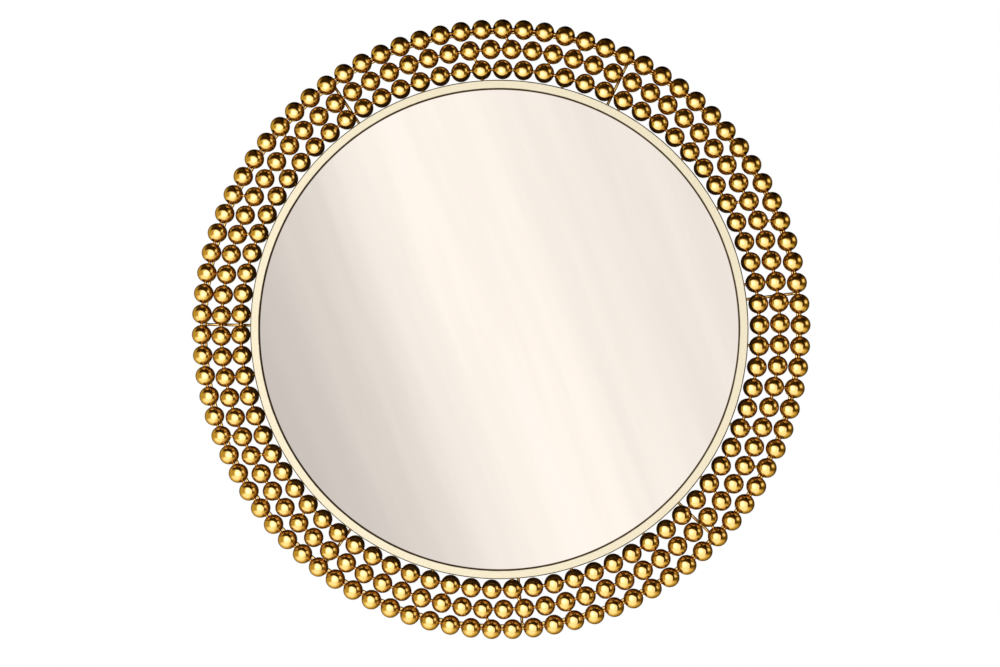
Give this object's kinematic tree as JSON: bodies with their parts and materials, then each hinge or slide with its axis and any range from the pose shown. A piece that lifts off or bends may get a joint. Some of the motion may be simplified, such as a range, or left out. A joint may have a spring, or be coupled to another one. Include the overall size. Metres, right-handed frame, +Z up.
{
  "type": "round wall mirror",
  "caption": "Round flat wall mirror in a shallow metal band, edged with three rows of polished balls on wire rings; hangs by two swinging rings on its back.",
  "frame": {"origin": "on the wall plane, behind the middle of the glass", "axes": "+Z up, +X to the right seen from the front, the front faces -Y and the wall is at +Y"},
  "size_m": [0.7988, 0.0327, 0.7988],
  "materials": {
    "ball_gold": "polished, mirror bright, deep gold",
    "wire_gold": "polished gold, a little duller than the balls",
    "band_gold": "satin pale gold",
    "mirror": "silvered flat glass with a ground edge",
    "strip_dark": "matt black self-adhesive strip",
    "foam": "white closed-cell foam",
    "board": "fibreboard painted matt black",
    "zinc_steel": "bright zinc plate",
    "screw_steel": "zinc plate",
    "bumper_rubber": "matt black rubber"
  },
  "bodies": {
    "mirror": {"backing_board": "board", "backing_ring": "wire_gold", "clip_screws": "screw_steel", "cushion_sheet": "foam", "glazing_strip": "strip_dark", "hanger_screws": "screw_steel", "hanger_strap_left": "zinc_steel", "hanger_strap_right": "zinc_steel", "inner_band_ties": "wire_gold", "inner_bead_wire": "wire_gold", "inner_beads": "ball_gold", "middle_bead_wire": "wire_gold", "middle_beads": "ball_gold", "middle_inner_ties": "wire_gold", "mirror_glass": "mirror", "outer_bead_wire": "wire_gold", "outer_beads": "ball_gold", "outer_middle_ties": "wire_gold", "retaining_clips": "zinc_steel", "rim_band": "band_gold", "spoke_1": "wire_gold", "spoke_2": "wire_gold", "spoke_3": "wire_gold", "spoke_4": "wire_gold", "spoke_5": "wire_gold", "spoke_6": "wire_gold", "spoke_7": "wire_gold", "wall_bumpers": "bumper_rubber"},
    "left_ring": {"hanger_ring_left": "zinc_steel"},
    "right_ring": {"hanger_ring_right": "zinc_steel"}
  },
  "joints": [
    {"name": "left_ring_swing", "type": "hinge", "parent": "mirror", "child": "left_ring", "pos_m": [-0.2, -0.00615, 0.12], "axis": [-1, 0, 0], "range_deg": [0, 176]},
    {"name": "right_ring_swing", "type": "hinge", "parent": "mirror", "child": "right_ring", "pos_m": [0.2, -0.00615, 0.12], "axis": [-1, 0, 0], "range_deg": [0, 176]}
  ]
}
